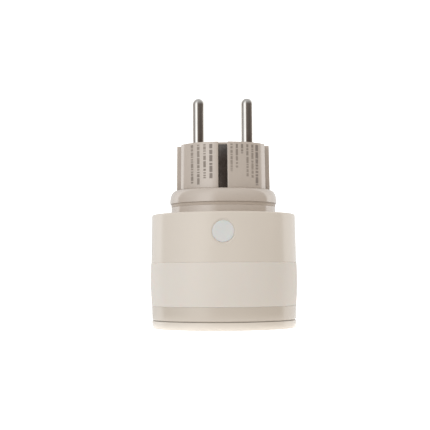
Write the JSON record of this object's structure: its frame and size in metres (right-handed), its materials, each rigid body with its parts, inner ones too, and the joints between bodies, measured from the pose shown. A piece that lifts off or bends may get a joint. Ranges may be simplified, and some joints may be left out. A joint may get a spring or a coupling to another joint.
{
  "type": "plug-in power meter",
  "caption": "Round plug-in power meter for outdoor use: mains plug on top, metered and switched socket under a sprung lid, and a side push button.",
  "frame": {"origin": "centre of the lid's flat outer face, on the axis of the round housing", "axes": "+Z along the housing's axis towards the pins, -Y towards the push button, +Y towards the lid's hinge, X along the line through the two pins"},
  "size_m": [0.057, 0.057, 0.0896],
  "materials": {
    "body_plastic": "satin warm beige",
    "head_plastic": "satin grey-beige, a shade darker than the body",
    "band_plastic": "fine matte light diffuser",
    "button_plastic": "smooth translucent grey-white",
    "socket_plastic": "fine matte beige",
    "inner_plastic": "matte black heat-resistant moulding",
    "seal_rubber": "soft matte silicone",
    "pin_nickel": "nickel plated, polished",
    "earth_metal": "dark plated strip",
    "contact_brass": "plain stamped brass",
    "spring_steel": "bright drawn steel",
    "board_green": "green solder resist",
    "relay_blue": "moulded blue case",
    "component_black": "moulded black",
    "film_yellow": "moulded yellow case",
    "can_aluminium": "drawn can",
    "led_white": "clear white lens"
  },
  "bodies": {
    "housing": {"plug_head": "head_plastic", "live_pin": "pin_nickel", "neutral_pin": "pin_nickel", "pin_carrier": "inner_plastic", "earth_contact_front": "earth_metal", "earth_contact_back": "earth_metal", "earth_sleeve": "contact_brass", "earth_bridge": "contact_brass", "live_busbar": "contact_brass", "neutral_busbar": "contact_brass", "rear_housing": "body_plastic", "neck_ring": "head_plastic", "light_band": "band_plastic", "upper_seal": "seal_rubber", "lower_seal": "seal_rubber", "head_seal": "seal_rubber", "front_ring": "body_plastic", "housing_screw_1": "spring_steel", "housing_screw_2": "spring_steel", "housing_screw_3": "spring_steel", "housing_screw_4": "spring_steel", "socket_cup": "socket_plastic", "earth_clip_front": "spring_steel", "earth_clip_back": "spring_steel", "earth_strap": "contact_brass", "earth_riser": "contact_brass", "contact_carrier": "inner_plastic", "live_contact": "contact_brass", "neutral_contact": "contact_brass", "shutter_spring": "spring_steel", "main_board": "board_green", "relay": "relay_blue", "suppression_capacitor": "film_yellow", "transformer": "component_black", "bulk_capacitor": "can_aluminium", "filter_capacitor": "can_aluminium", "varistor": "relay_blue", "fuse": "film_yellow", "wireless_module": "can_aluminium", "metering_shunt": "contact_brass", "light_board": "board_green", "light_1": "led_white", "light_2": "led_white", "light_3": "led_white", "light_4": "led_white", "push_switch": "can_aluminium", "button_board": "board_green", "hinge_pin": "spring_steel", "lid_spring": "spring_steel"},
    "lid": {"lid": "body_plastic", "lid_gasket": "seal_rubber"},
    "button": {"button_cap": "button_plastic", "button_seal": "seal_rubber"},
    "plunger": {"switch_plunger": "component_black"},
    "shutter": {"child_shutter": "inner_plastic"}
  },
  "joints": [
    {"name": "lid_hinge", "type": "hinge", "parent": "housing", "child": "lid", "pos_m": [0, 0.0256, 0.0046], "axis": [1, 0, 0], "range_deg": [0, 105], "stiffness_Nm_per_rad": 0.01, "springref_deg": -34.38},
    {"name": "button_press", "type": "slide", "parent": "housing", "child": "button", "axis": [0, 1, 0], "range_m": [0, 0.0005], "stiffness_N_per_m": 2000, "springref_m": -0.0005},
    {"name": "plunger_press", "type": "slide", "parent": "housing", "child": "plunger", "axis": [0, 1, 0], "range_m": [0, 0.0005]},
    {"name": "shutter_slide", "type": "slide", "parent": "housing", "child": "shutter", "axis": [0, 1, 0], "range_m": [0, 0.006], "stiffness_N_per_m": 60, "springref_m": -0.002, "deforming": ["shutter_spring"]}
  ],
  "couplings": [
    {"joint": "plunger_press", "follows": "button_press", "ratio": 1}
  ]
}
